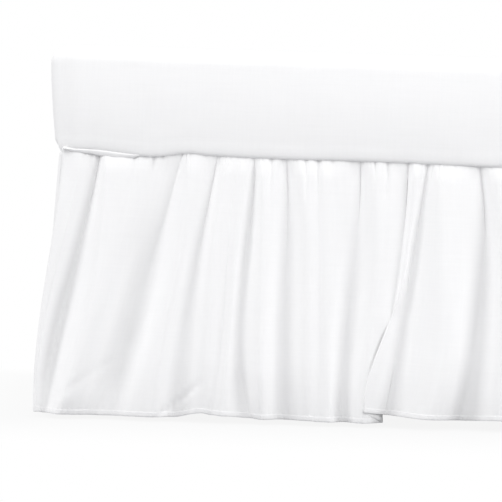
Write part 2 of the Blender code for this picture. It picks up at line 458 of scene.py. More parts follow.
FOLD_LEVELS = (0.05, 0.32, 0.66, 0.95)
PHOTOGRAPHED_FOLDS = (
    Fold(-3, -11, -25, -29, -0.1, 0, 2),
    Fold(22, 4, -19, -26, 0.4, 0, 2),
    Fold(46, 27, 1, -14, -1.0, 0, 1),
    Fold(57, 53, 38, 12, 1.0, 0, 0),
    Fold(153, 129, 95, 66, -0.8, 0, -0.7),
    Fold(167, 160, 139, 127, 0.8, 0, 0),
    Fold(201, 185, 166, 155, -0.9, 0, 0),
    Fold(217, 203, 198, 194, 0.8, 0, 7),
    Fold(229, 221, 216, 207, 0.4, 0, 5),
    Fold(238, 231, 224, 221, 0.8, 0, 4),
    Fold(252, 247, 239, 251, -0.9, 0, 2),
    Fold(263, 266, 266, 270, 1.0, 0, 1),
    Fold(295, 298, 295, 298, -1.0, 0, 1),
    Fold(317, 326, 329, 333, 0.9, 0, 1),
    Fold(335, 339, 344, 345, 0.5, 0, 0),
    Fold(345, 349, 353, 359, 0.8, 0, 0),
    Fold(392, 390, 379, 377, -1.0, 0, 0),
    Fold(414, 419, 413, 405, 0.5, 0, 0),
    Fold(455, 450, 437, 431, -0.9, 0, 0),
    Fold(464, 458, 446, 442, 0.85, 38, 15),
    Fold(480, 468, 452, 436, -0.4, 0, 11),
    Fold(504, 506, 509, 495, 1.0, 0, 8),
    Fold(551, 560, 553, 539, -1.0, 0, 6),
    Fold(577, 581, 584, 583, 0.9, 0, 9),
)

EDGE_RISE = -0.1
EDGE_LIFT = 3
LONG_SWING = 22
SHORT_SWING = 14
SWAY_PATH = (0, 0.3, 0.75, 1)
END_INSET = 0.005
CORNER_GAP = END_INSET - 0.0022


class Crease(NamedTuple):
    """A fine trough in the cloth, or a ridge where depth is negative.

    path has its place at the four fold levels and depth and width are in millimetres; start and reach
    are the shares of the drop between which it shows.
    """

    path: tuple[float, float, float, float]
    start: float
    reach: float
    depth: float
    width: float


CREASE_FADE_IN = 0.05  # share of the drop over which a crease that starts below the seam appears


class Pinch(NamedTuple):
    """A photographed fold line's stretch that is pinched sharp, measured as a crease is."""

    fold: int
    start: float
    reach: float
    depth: float
    width: float


PINCHES = (
    Pinch(2, 0.00, 0.50, 2.6, 2.8),
    Pinch(4, 0.00, 0.12, 0.8, 3.0),
    Pinch(6, 0.00, 0.45, 1.2, 2.2),
    Pinch(8, 0.30, 1.00, 0.5, 2.0),
    Pinch(10, 0.00, 0.40, 0.7, 2.2),
    Pinch(12, 0.00, 0.40, 1.4, 2.4),
    Pinch(14, 0.00, 0.22, 2.0, 3.0),
    Pinch(16, 0.00, 0.35, 2.2, 3.0),
    Pinch(18, 0.00, 0.42, 2.0, 2.4),
    Pinch(20, 0.00, 0.80, 2.3, 3.0),
    Pinch(22, 0.00, 0.45, 2.8, 3.2),
)


class Hollow(NamedTuple):
    """A broad inward sag beside a photographed fold, or a swell where depth is negative.

    aside, depth and width are in millimetres. It grows from start to full and is gone at end, which are
    shares of the drop.
    """

    fold: int
    aside: float
    start: float
    full: float
    end: float
    depth: float
    width: float


HOLLOW_FADE_OUT = 0.2  # share of the drop over which a hollow fades before its end
HOLLOWS = (
    Hollow(2, 0.0, 0.04, 0.30, 1.06, 3.5, 8.0),
    Hollow(2, 2.0, 0.25, 0.60, 1.06, 4.5, 20.0),
    Hollow(2, 0.0, 0.78, 1.00, 1.3, -4.0, 12.0),
    Hollow(2, -8.0, 0.40, 0.70, 0.98, 3.5, 8.0),
    Hollow(4, 14.0, 0.45, 0.75, 1.2, 3.0, 12.0),
    Hollow(4, 0.0, 0.02, 0.20, 0.6, 2.5, 11.0),
    Hollow(4, 0.0, 0.15, 0.55, 1.05, 8.0, 26.0),
    Hollow(4, -20.0, 0.20, 0.60, 1.2, 4.5, 14.0),
    Hollow(4, 0.0, 0.70, 1.00, 1.3, -7.0, 24.0),
    Hollow(6, 0.0, 0.20, 0.90, 1.3, -5.5, 14.0),
    Hollow(9, 0.0, 0.30, 0.90, 1.3, -1.5, 8.0),
    Hollow(10, 0.0, 0.20, 0.90, 1.3, -3.0, 12.0),
    Hollow(12, 0.0, 0.25, 0.90, 1.3, -5.0, 16.0),
    Hollow(12, -12.0, 0.30, 0.90, 1.3, 2.0, 10.0),
    Hollow(16, 0.0, 0.10, 0.60, 1.2, 2.5, 22.0),
    Hollow(20, 2.0, 0.02, 0.45, 1.3, 7.0, 13.0),
    Hollow(22, 0.0, 0.03, 0.25, 0.8, 2.0, 8.0),
    Hollow(22, 3.0, 0.05, 0.60, 1.3, 5.5, 24.0),
    Hollow(22, -6.0, 0.75, 0.98, 1.3, 4.0, 16.0),
)
CREASES = (
    Crease((35, 21, 5, 0), 0.0, 0.14, 2.0, 2.3),
    Crease((93, 84, 70, 60), 0.0, 0.30, 2.3, 3.2),
    Crease((118, 112, 106, 100), 0.0, 0.18, 3.0, 1.9),
    Crease((130, 125, 118, 110), 0.0, 0.16, 1.6, 2.4),
    Crease((274, 273, 272, 272), 0.0, 0.28, 2.6, 2.9),
    Crease((320, 321, 322, 323), 0.0, 0.22, 2.4, 2.1),
    Crease((338, 337, 336, 336), 0.0, 0.15, 1.8, 1.9),
    Crease((355, 352, 350, 348), 0.0, 0.26, 1.9, 3.0),
    Crease((411, 409, 406, 404), 0.0, 0.14, 2.0, 2.0),
    Crease((428, 424, 420, 416), 0.0, 0.26, 3.2, 2.6),
    Crease((4, -3, -14, -20), 0.0, 0.24, 3.4, 6.0),
    Crease((437, 304, 136, -6), 0.77, 1.02, 2.2, 6.0),
    Crease((604, 470, 301, 157), 0.86, 1.10, 3.0, 5.5),
)


def through_levels(values: tuple[float, ...], down: Grid | float) -> Grid | float:
    """The curve through a value at each of the fold levels.

    Args:
        values: one value for each fold level.
        down: share of the drop at which it is read.

    Returns:
        The value there.
    """
    total = 0.0
    for i, level in enumerate(FOLD_LEVELS):
        weight = 1.0
        for j, other in enumerate(FOLD_LEVELS):
            if j != i:
                weight = weight * (down - other) / (level - other)
        total = total + weight * values[i]
    return total


def swaying_fold(top: float, sway: float, rise: float, lift: float) -> Fold:
    """A fold that starts at one place and drifts sideways towards the hem.

    Args:
        top: its place at the seam, in millimetres.
        sway: how far it drifts by the hem.
        rise: its height as a share of the fold depth.
        lift: how far it raises the hem.

    Returns:
        The fold.
    """
    places = [top + sway * share for share in SWAY_PATH]
    return Fold(*places, rise, 0, lift)


@dataclass(frozen=True)
class PlainSpread:
    """How the folds that the photograph doesn't show are laid out, in millimetres and shares."""

    pitch: float = 36
    pitch_change: float = 19
    sway: float = 24
    lift: float = 8
    least_rise: float = 0.55
    most_rise: float = 1.15

    def folds(self, start: float, end: float, rise: float, seed: int) -> list[Fold]:
        """Alternating crests and valleys, uneven in pitch, sway and lift.

        Args:
            start: where they begin along the seam.
            end: where they end.
            rise: 1 if the first is a crest, -1 if it is a valley.
            seed: the seed of their unevenness.

        Returns:
            The folds in order.
        """
        dice = random.Random(seed)
        count = round((end - start) / self.pitch)
        folds = []
        for i in range(1, count):
            top = start + (end - start) * i / count + dice.uniform(-1, 1) * self.pitch_change / 2
            sway = dice.uniform(-1, 1) * self.sway / 2
            lift = dice.uniform(0, self.lift)
            height = rise * dice.uniform(self.least_rise, self.most_rise)
            folds.append(swaying_fold(top, sway, height, lift))
            rise = -rise
        return folds


def front_folds(length: float, seed: int) -> list[Fold]:
    """The photographed folds, then plain ones up to the right-hand end of a panel of that length."""
    last = PHOTOGRAPHED_FOLDS[-1]
    edge = swaying_fold(length, LONG_SWING, EDGE_RISE, EDGE_LIFT)
    return [*PHOTOGRAPHED_FOLDS, *PlainSpread().folds(last.top, length, -1, seed), edge]


def hidden_folds(length: float, swing: float, seed: int) -> list[Fold]:
    """Plain folds for a whole panel of that length, between side edges that swing out at the hem."""
    left = swaying_fold(0, -swing, EDGE_RISE, EDGE_LIFT)
    right = swaying_fold(length, swing, EDGE_RISE, EDGE_LIFT)
    return [left, *PlainSpread().folds(0, length, 1, seed), right]


# The mattress's lower edge


class EdgePoint(NamedTuple):
    """Height of the mattress's lower front edge at a place along the bed, in metres."""

    x: float
    z: float


LIFT_INSIDE = 0.001  # how far inside the seam the lift starts, in metres
LIFT_GROWS = 0.007  # how much further out it is whole
RESTING = 0.3500  # height at which the edge lies flat on the deck
LOWER_EDGE = (
    EdgePoint(-0.665, 0.3556), EdgePoint(-0.610, 0.3548), EdgePoint(-0.528, 0.3486),
    EdgePoint(-0.476, 0.3546), EdgePoint(-0.450, 0.3526), EdgePoint(-0.400, 0.3515),
    EdgePoint(-0.330, 0.3510), EdgePoint(-0.280, 0.3515), EdgePoint(-0.200, 0.3512),
    EdgePoint(-0.150, 0.3502), EdgePoint(-0.080, 0.3492), EdgePoint(0.020, 0.3508),
    EdgePoint(0.110, 0.3500), EdgePoint(0.230, 0.3524), EdgePoint(0.330, 0.3502),
    EdgePoint(0.450, 0.3512), EdgePoint(0.540, 0.3496), EdgePoint(0.600, 0.3530),
    EdgePoint(0.665, 0.3550),
)


def eased_between(knots: tuple[EdgePoint, ...], x: Grid) -> Grid:
    """Heights at x, eased from one knot to the next."""
    places = np.array([knot.x for knot in knots])
    heights = np.array([knot.z for knot in knots])
    i = np.clip(np.searchsorted(places, x) - 1, 0, len(places) - 2)
    share = smooth((x - places[i]) / (places[i + 1] - places[i]))
    return heights[i] + (heights[i + 1] - heights[i]) * share


def lifted_share(out: Grid) -> Grid:
    """How much of the lower edge's lift the sheet follows at a distance outward from the seam."""
    return smooth((out + LIFT_INSIDE) / LIFT_GROWS)


# The skirt


@dataclass(frozen=True)
class Hang:
    """How every panel hangs from the deck's edge, in metres and in shares of the drop or of the depth."""

    drop: float = 0.345
    seam_gap: float = 0.0003
    seam_strip: float = 0.0040
    heading_radius: float = 0.0025
    heading_gather: float = 0.028
    fold_depth: float = 0.014
    depth_at_seam: float = 0.3
    steepest: float = 0.5
    flare: float = 0.018
    flare_power: float = 1.2
    crisp_until: float = 0.5
    lean_from: float = 0.45
    puff: float = 0.007
    puff_fade: float = 0.018

    def profile(self, down: Grid) -> tuple[Grid, Grid]:
        """Outward and downward place of the unfolded cloth, which turns over the seam, then flares.

        Args:
            down: shares of the drop.

        Returns:
            How far out and how far down the cloth is at each.
        """
        fallen = np.maximum(0.0, down * self.drop - self.seam_strip)
        turn = np.minimum(fallen / self.heading_radius, QUARTER)
        strip = np.minimum(down * self.drop, self.seam_strip)
        out = strip + self.heading_radius * np.sin(turn) + self.flare * down ** self.flare_power
        below = np.maximum(0.0, fallen - self.heading_radius * QUARTER)
        turn_takes = self.seam_strip + self.heading_radius * (QUARTER - 1)
        drop = (self.heading_radius * (1 - np.cos(turn)) + below) * self.drop / (self.drop - turn_takes)
        return out, drop

    def lines(self, folds: list[Fold], down: float) -> Grid:
        """The fold lines at a share of the drop.

        Args:
            folds: the panel's folds.
            down: the share of the drop.

        Returns:
            Rows of place, lean, outward height and hem lift, in metres, with a column for each fold.
        """
        table = np.array(folds).T
        place = through_levels(tuple(table[:4]), down) * MM
        lean = table[5] * smooth((down - self.lean_from) / (1 - self.lean_from)) * MM
        depth = self.fold_depth * (self.depth_at_seam + (1 - self.depth_at_seam) * down)
        depth *= smooth(down * self.drop / self.heading_gather)
        gaps = np.abs(np.diff(place - lean))
        near = np.minimum(np.append(gaps, np.inf), np.insert(gaps, 0, np.inf))
        height = table[4] * np.minimum(depth, self.steepest * near)
        return np.stack([place, lean, height, table[6] * MM * down])


@dataclass(frozen=True)
class Sewing:
    """Cloth thickness, hems and gathers, in millimetres.

    The tucks at the seam are drawn between the two ends of their ranges. A stitch is a bead of thread with
    a girth, as a share of the thread's, at each share of its length.
    """

    cloth: float = 0.8
    hem_cloth: float = 1.9
    hem: float = 6.5
    hem_step: float = 0.7
    stitch_inset: float = 1.3
    stitch: float = 2.1
    stitch_gap: float = 0.8
    stitch_margin: float = 3.0
    thread: float = 0.45
    bead: tuple[float, ...] = (0.0, 0.12, 0.5, 0.88, 1.0)
    bead_girth: tuple[float, ...] = (0.25, 0.8, 1.0, 0.8, 0.25)
    bead_sides: int = 6
    groove: float = 0.2
    groove_reach: float = 0.1
    tuck_pitch: tuple[float, float] = (8.0, 24.0)
    tuck_depth: tuple[float, float] = (0.4, 1.5)
    tuck_width: tuple[float, float] = (1.8, 4.0)
    tuck_reach: tuple[float, float] = (10.0, 36.0)
    tuck_start: float = 3.0
    ripple: float = 0.9
    ripple_across: float = 26.0
    ripple_down: float = 130.0
    ripple_start: float = 40.0
    curl: float = 6.0
    curl_height: float = 80.0
    pucker: float = 0.25
    pucker_pitch: float = 11.0
    pucker_height: float = 5.0
    pucker_beat: float = 40.0
    pucker_drift: float = 9.0
    pucker_seed: int = 7
    foot_round: float = 1.2
    foot_least: float = 0.12


class Side(Enum):
    """A side of the bed, as quarter turns about Z from the front."""

    FRONT = 0
    RIGHT = 1
    BACK = 2
    LEFT = 3

    @property
    def node(self) -> str:
        """The name of the panel's solid."""
        return f"{self.name.lower()}_panel"


@dataclass(frozen=True)
class CornerEdge:
    """How an end panel's side edges close the corners behind the long panels, in metres.

    gap is how far an edge ends before the corner, and recess how much further back its hem is, at the
    panel's left and right. felt is the width of cloth that follows the edge, and turn the width that
    curls in by curl. The curl grows and fades again as the cloth flares out.
    """

    gap: float
    recess: tuple[float, float] = (0.003, 0.003)
    heading: float = 0.0065
    felt: float = 0.028
    turn: float = 0.010
    curl: float = 0.0035
    curl_grows: float = 0.006
    curl_fades: float = 0.008
    curl_gone: float = 0.012


@dataclass
class GatheredPanel:
    """One gathered panel: percale with a turned bottom hem and side hems, gathered on to the deck.

    length is the seam's, seam_at its distance from the bed's middle and seam_height its height, in metres.
    Columns of points are fine_pitch apart along the seam up to fine_until, then plain_pitch. They are
    spaced evenly at spaced_at, and the flat cloth is measured at measured_at, both shares of the drop.
    raised lets the heading follow the mattress's lower edge.
    """

    side: Side
    folds: list[Fold]
    length: float
    seam_at: float
    seam_height: float
    seed: int
    creases: list[Crease] = field(default_factory=list)
    hollows: tuple[Hollow, ...] = ()
    fine_until: float = 0.0
    corner: CornerEdge | None = None
    raised: bool = False
    fine_pitch: float = 0.0018
    plain_pitch: float = 0.0046
    least_steps: int = 5
    heading_rows: int = 6
    body_rows: int = 50
    row_power: float = 1.1
    row_margin: float = 0.002
    before_hem: float = 0.0008
    past_stitch: float = 0.0007
    foot_rows: tuple[float, ...] = (0.0035, 0.0018, 0.0009, 0.0003, 0.0)
    spaced_at: float = 0.8
    measured_at: float = 0.7
    hang: Hang = field(default_factory=Hang)
    sewing: Sewing = field(default_factory=Sewing)

    def rows(self) -> Grid:
        """Distances down the cloth at which it has a row of points, in metres."""
        hang, sewing = self.hang, self.sewing
        turn_end = hang.seam_strip + hang.heading_radius * QUARTER
        hem_top = hang.drop - sewing.hem * MM
        seam = np.linspace(hang.seam_strip, turn_end, self.heading_rows)
        fall = hem_top - self.row_margin - turn_end - self.row_margin
        body = np.linspace(0, 1, self.body_rows) ** self.row_power * fall + turn_end + self.row_margin
        stitch = sewing.stitch_inset * MM
        hem = [-self.before_hem, 0.0, sewing.hem_step * MM, stitch, stitch + self.past_stitch]
        foot = hang.drop - np.array(self.foot_rows)
        return np.concatenate([[0.0], seam, body, hem_top + np.array(hem), foot])

    def columns(self) -> tuple[Grid, Grid]:
        """Places across the cloth, closer together near the fold lines.

        Returns:
            The number of the fold interval and the share of it, for each column of points.
        """
        place, lean, height, _ = self.hang.lines(self.folds, self.spaced_at)
        spans = np.hypot(np.diff(place - lean), np.diff(height))
        intervals, shares = [], []
        for i, span in enumerate(spans):
            pitch = self.fine_pitch if place[i] < self.fine_until else self.plain_pitch
            steps = max(self.least_steps, math.ceil(span / pitch))
            even = np.arange(steps) / steps
            gathered = (1 - np.cos(even * math.pi)) / 2
            shares.append((even + gathered) / 2)
            intervals.append(np.full(steps, i))
        return np.append(np.concatenate(intervals), len(spans) - 1), np.append(np.concatenate(shares), 1.0)

    def loft(self, rows: Grid, intervals: Grid, shares: Grid) -> Grid:
        """The cloth's middle surface over its fold lines, before fine detail.

        Args:
            rows: distances down the cloth.
            intervals: the fold interval of each column.
            shares: the share of it at each column.

        Returns:
            Rows by columns of points, in the panel's own frame: X along the seam, -Y outward.
        """
        hang = self.hang
        eased = smooth(shares)
        outs, drops = hang.profile(rows / hang.drop)
        above_hem = (hang.drop - rows) / MM
        curl = self.sewing.curl * MM * np.clip(1 - above_hem / self.sewing.curl_height, 0, 1) ** 2
        grid = np.empty((len(rows), len(shares), 3))
        for r, down in enumerate(rows / hang.drop):
            lines = hang.lines(self.folds, down)
            first, second = lines[:, intervals], lines[:, intervals + 1]
            rising = first[2] < second[2]
            crisp = np.where(rising, np.sin(shares * QUARTER), 1 - np.cos(shares * QUARTER))
            crispness = 1 - smooth(down / hang.crisp_until)
            height_share = eased + (crisp - eased) * crispness
            along = first[0] + (second[0] - first[0]) * shares - first[1] - (second[1] - first[1]) * eased
            height = first[2] + (second[2] - first[2]) * height_share
            lift = first[3] + (second[3] - first[3]) * eased
            grid[r, :, 0] = along
            grid[r, :, 1] = curl[r] - hang.seam_gap - outs[r] - height
            grid[r, :, 2] = lift - drops[r]
        if self.corner:
            self.close_corners(grid, outs)
        return grid

    def close_corners(self, grid: Grid, outs: Grid) -> None:
        """Draws both side edges out behind the neighbouring panels and curls them in a little.

        Args:
            grid: the lofted points, changed in place.
            outs: how far out the unfolded cloth is at each row.
        """
        corner = self.corner
        grown = smooth(outs / corner.curl_grows)
        curl = grown * (1 - smooth((outs - corner.curl_fades) / corner.curl_gone))
        flared = np.clip((outs - outs[0] - corner.heading) / self.hang.flare, 0, 1)
        for end, way, recess in ((0, -1, corner.recess[0]), (-1, 1, corner.recess[1])):
            edge = grid[:, end, 0].copy()
            wanted = (0 if way < 0 else self.length) + way * (corner.gap + outs - recess * flared)
            near = smooth(1 - np.abs(grid[..., 0] - edge[:, None]) / corner.felt)
            grid[..., 0] += (wanted - edge)[:, None] * near
            turned = smooth(1 - np.abs(grid[..., 0] - wanted[:, None]) / corner.turn)
            grid[..., 1] += turned * corner.curl * curl[:, None]

    def tucks(self, cloth: Grid, rows: Grid) -> Grid:
        """The small tucks that gathering leaves at the seam, as an inward push.

        Args:
            cloth: flat place of each column along the cloth.
            rows: distance of each row down it.

        Returns:
            Rows by columns of metres, negative inwards.
        """
        sewing = self.sewing
        dice = random.Random(self.seed)
        push = np.zeros((len(rows), len(cloth)))
        place = dice.uniform(*sewing.tuck_pitch) * MM
        while place < cloth[-1]:
            depth = dice.uniform(*sewing.tuck_depth) * MM
            width = dice.uniform(*sewing.tuck_width) * MM
            reach = dice.uniform(*sewing.tuck_reach) * MM
            across = np.exp(-((cloth - place) / width) ** 2)
            down = np.exp(-(rows / reach) ** 2)
            push -= depth * down[:, None] * across[None, :]
            place += dice.uniform(*sewing.tuck_pitch) * MM
        return push * smooth(rows / (sewing.tuck_start * MM))[:, None]

    def creased(self, along: Grid, rows: Grid) -> Grid:
        """The listed creases and hollows, as an inward push.

        Args:
            along: place along the seam of each point, in metres.
            rows: distance of each row down the cloth.

        Returns:
            Rows by columns of metres, negative inwards.
        """
        push = np.zeros(along.shape)
        down = rows / self.hang.drop
        for crease in self.creases:
            line = through_levels(crease.path, down) * MM
            fade_in = smooth((down - crease.start) / CREASE_FADE_IN) if crease.start else 1.0
            fade = fade_in * (1 - smooth((down - crease.start) / (crease.reach - crease.start)))
            across = np.exp(-((along - line[:, None]) / (crease.width * MM)) ** 2)
            push -= crease.depth * MM * fade[:, None] * across
        for hollow in self.hollows:
            line = (through_levels(self.folds[hollow.fold][:4], down) + hollow.aside) * MM
            grow = smooth((down - hollow.start) / (hollow.full - hollow.start))
            grow = grow * (1 - smooth((down - hollow.end + HOLLOW_FADE_OUT) / HOLLOW_FADE_OUT))
            across = np.exp(-((along - line[:, None]) / (hollow.width * MM)) ** 2)
            push -= hollow.depth * MM * grow[:, None] * across
        return push

    def heading_rise(self, along: Grid, rows: Grid) -> Grid:
        """How far the heading puffs up to the mattress's lower edge where that lifts off the deck.

        Args:
            along: place of each column at the seam, in metres.
            rows: distance of each row down the cloth.

        Returns:
            Rows by columns of metres.
        """
        lifted = np.maximum(0.0, eased_between(LOWER_EDGE, along - self.length / 2) - RESTING)
        puff = smooth(rows / self.hang.puff) * (1 - smooth((rows - self.hang.puff) / self.hang.puff_fade))
        return puff[:, None] * lifted[None, :]

    def detail(self, cloth: Grid, rows: Grid) -> Grid:
        """All fine relief of the cloth, as a push along its normal.

        Args:
            cloth: flat place of each column along the cloth.
            rows: distance of each row down it.

        Returns:
            Rows by columns of metres, positive outwards.
        """
        sewing, drop = self.sewing, self.hang.drop
        across, down = np.meshgrid(cloth / MM, rows / MM)
        ripple = noise_at(across / sewing.ripple_across, down / sewing.ripple_down, self.seed)
        ripple = ripple * sewing.ripple * MM * smooth(down / sewing.ripple_start)
        hem_line = (drop - sewing.hem * MM) / MM
        beat = noise_at(across[:1] / sewing.pucker_beat, down[:1] * 0, self.seed + sewing.pucker_seed)
        drift = beat * sewing.pucker_drift
        pucker = np.sin(across / sewing.pucker_pitch * math.tau + drift) * sewing.pucker * MM
        pucker = pucker * np.exp(-((down - hem_line) / sewing.pucker_height) ** 2)
        return ripple + pucker + self.tucks(cloth, rows)

    def half_thickness(self, cloth: Grid, rows: Grid) -> Grid:
        """Half the cloth's thickness, doubled in the hems and rounded off at the free edges."""
        sewing = self.sewing
        hem_top = self.hang.drop - sewing.hem * MM
        hem = smooth((rows - hem_top) / (sewing.hem_step * MM))[:, None]
        edge = np.minimum(cloth, cloth[-1] - cloth)
        side = 1 - smooth((edge - sewing.hem * MM) / (sewing.hem_step * MM))[None, :]
        layers = np.maximum(hem, side)
        half = (sewing.cloth + (sewing.hem_cloth - sewing.cloth) * layers) / 2 * MM
        foot = self.hang.drop - rows
        rounding = np.sqrt(np.clip(foot / (sewing.foot_round * MM), sewing.foot_least, 1.0))[:, None]
        stitch = np.abs(rows - hem_top - sewing.stitch_inset * MM) < sewing.groove_reach * MM
        return half * rounding - stitch[:, None] * sewing.groove * MM / 2

    def place(self, points: Grid) -> Grid:
        """Turns points from the panel's own frame to its side of the bed."""
        centred = points - np.array([self.length / 2, self.seam_at, -self.seam_height])
        turn = np.array(Matrix.Rotation(self.side.value * QUARTER, 3, "Z"))
        return centred @ turn.T

    def build(self, cloth_finish: Material, thread_finish: Material) -> list[Piece]:
        """Builds the panel and its hem stitches.

        Args:
            cloth_finish: the material of the cloth.
            thread_finish: the material of the stitches.

        Returns:
            The panel and the stitches.
        """
        rows = self.rows()
        intervals, shares = self.columns()
        grid = self.loft(rows, intervals, shares)
        steps = np.linalg.norm(np.diff(grid, axis=1), axis=2)
        measured = np.argmin(np.abs(rows - self.measured_at * self.hang.drop))
        cloth = np.insert(np.cumsum(steps[measured]), 0, 0.0)
        grid[..., 1] -= self.creased(grid[..., 0], rows)
        if self.raised:
            grid[..., 2] += self.heading_rise(grid[0, :, 0], rows)
        grid = grid + grid_normals(grid) * self.detail(cloth, rows)[..., None]
        half = self.half_thickness(cloth, rows)
        flat = np.stack(np.meshgrid(cloth, rows), axis=-1)
        name = f"skirt_{self.side.name.lower()}"
        panel = sheet_piece(name, self.place(grid), half, flat, cloth_finish)
        stitches = self.stitches(grid, half, rows, thread_finish)
        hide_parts(self.side.node)
        return [panel, stitches]

    def stitches(self, grid: Grid, half: Grid, rows: Grid, finish: Material) -> Piece:
        """The row of straight stitches that holds the bottom hem, as one joined mesh.

        Args:
            grid: the points of the panel's middle surface.
            half: half its thickness there.
            rows: distance of each row down the cloth.
            finish: the material of the thread.

        Returns:
            The stitches.
        """
        sewing = self.sewing
        line = self.hang.drop - (sewing.hem - sewing.stitch_inset) * MM
        r = int(np.argmin(np.abs(rows - line)))
        normals = grid_normals(grid)[r]
        seam = grid[r] + normals * half[r][:, None]
        far = np.insert(np.cumsum(np.linalg.norm(np.diff(seam, axis=0), axis=1)), 0, 0.0)
        pitch = (sewing.stitch + sewing.stitch_gap) * MM
        margin = sewing.stitch_margin * MM
        starts = np.arange(margin, far[-1] - margin - pitch, pitch)
        bead = np.array(sewing.bead)
        girth = np.array(sewing.bead_girth) * sewing.thread / 2 * MM
        sides = sewing.bead_sides
        angles = np.arange(sides) / sides * math.tau
        points, faces = [], []
        for number, start in enumerate(starts):
            at = start + bead * sewing.stitch * MM
            middle = np.stack([np.interp(at, far, seam[:, k]) for k in range(3)], axis=1)
            out = np.stack([np.interp(at, far, normals[:, k]) for k in range(3)], axis=1)
            along = middle[-1] - middle[0]
            along /= np.linalg.norm(along)
            side = np.cross(along, out)
            ring = out[:, None] * np.cos(angles)[:, None] + side[:, None] * np.sin(angles)[:, None]
            points.append((middle[:, None] + ring * girth[:, None, None]).reshape(-1, 3))
            first = number * len(bead) * sides + np.arange(len(bead) * sides).reshape(len(bead), sides)
            turned = np.roll(first, -1, axis=1)
            faces += quads(first[:-1], turned[:-1], turned[1:], first[1:]).tolist()
            faces += [first[0, ::-1].tolist(), first[-1].tolist()]
        own_name = f"hem_stitches_{self.side.name.lower()}"
        return mesh_piece(own_name, self.place(np.concatenate(points)), faces, finish)


@dataclass
class DeckSheet:
    """The flat deck of the skirt, which lies on the slats and sags a little between them."""

    length: float
    width: float
    middle: float
    slat_spans: list[tuple[float, float]]
    cloth: float = 0.0008
    sag: float = 0.0016
    pitch: float = 0.008
    seam_inset: float = 0.012
    sag_margin: float = 0.04

    def build(self, finish: Material) -> list[Piece]:
        """Builds the sheet.

        Args:
            finish: the material of the cloth.

        Returns:
            The one piece.
        """
        x = np.linspace(-self.length / 2, self.length / 2, round(self.length / self.pitch) + 1)
        y = np.linspace(self.width / 2, -self.width / 2, round(self.width / self.pitch) + 1)
        across, down = np.meshgrid(x, y)
        between = np.zeros(len(x))
        for (_, left), (right, _) in zip(self.slat_spans, self.slat_spans[1:]):
            share = np.clip((x - left) / (right - left), 0, 1)
            between += np.sin(share * math.pi) ** 2
        edge = np.minimum(self.width / 2 - np.abs(down), self.length / 2 - np.abs(across))
        held = smooth((edge - self.seam_inset) / self.sag_margin)
        height = self.middle - self.sag * between[None, :] * held
        points = np.stack([across, down, height], axis=-1)
        half = np.full(height.shape, self.cloth / 2)
        deck = sheet_piece("deck_sheet", points, half, np.stack([across, down], axis=-1), finish)
        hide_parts("deck")
        return [deck]


# The mattress


